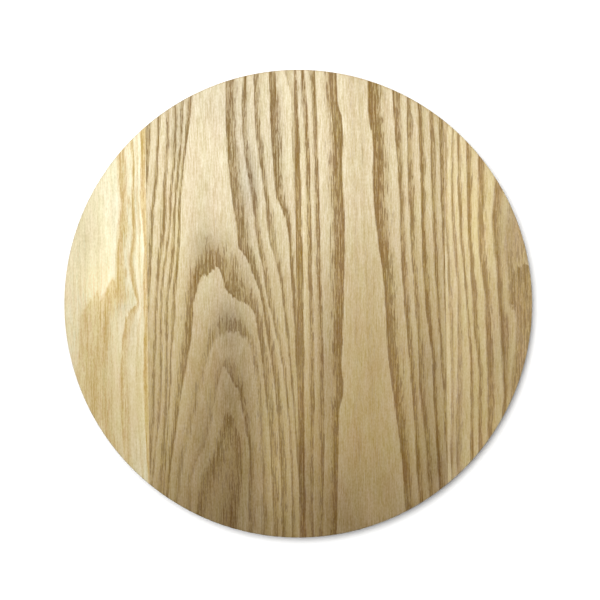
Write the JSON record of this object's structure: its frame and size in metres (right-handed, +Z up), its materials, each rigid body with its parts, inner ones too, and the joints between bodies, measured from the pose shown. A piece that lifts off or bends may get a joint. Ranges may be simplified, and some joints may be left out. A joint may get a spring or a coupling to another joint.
{
  "type": "round wooden board",
  "caption": "Thin round board of pale flat-sawn ash, edge-glued from straight staves and cut to a circle with a lightly eased rim; a plain base, stand or display disc.",
  "frame": {"origin": "centre of the underside, on the surface that the disc lies on", "axes": "+Z up through the thickness, +Y along the grain and the glue joints, +X across the staves from left to right as seen from above"},
  "size_m": [0.3, 0.3, 0.008],
  "materials": {
    "ash": "bare pale ash, planed and fine sanded, matt, open pores along the growth rings",
    "glue": "cured wood glue, scraped and sanded flush"
  },
  "bodies": {
    "root": {"stave_left": "ash", "stave_mid_left": "ash", "stave_mid_right": "ash", "stave_right": "ash", "glue_line_left": "glue", "glue_line_middle": "glue", "glue_line_right": "glue"}
  },
  "joints": []
}
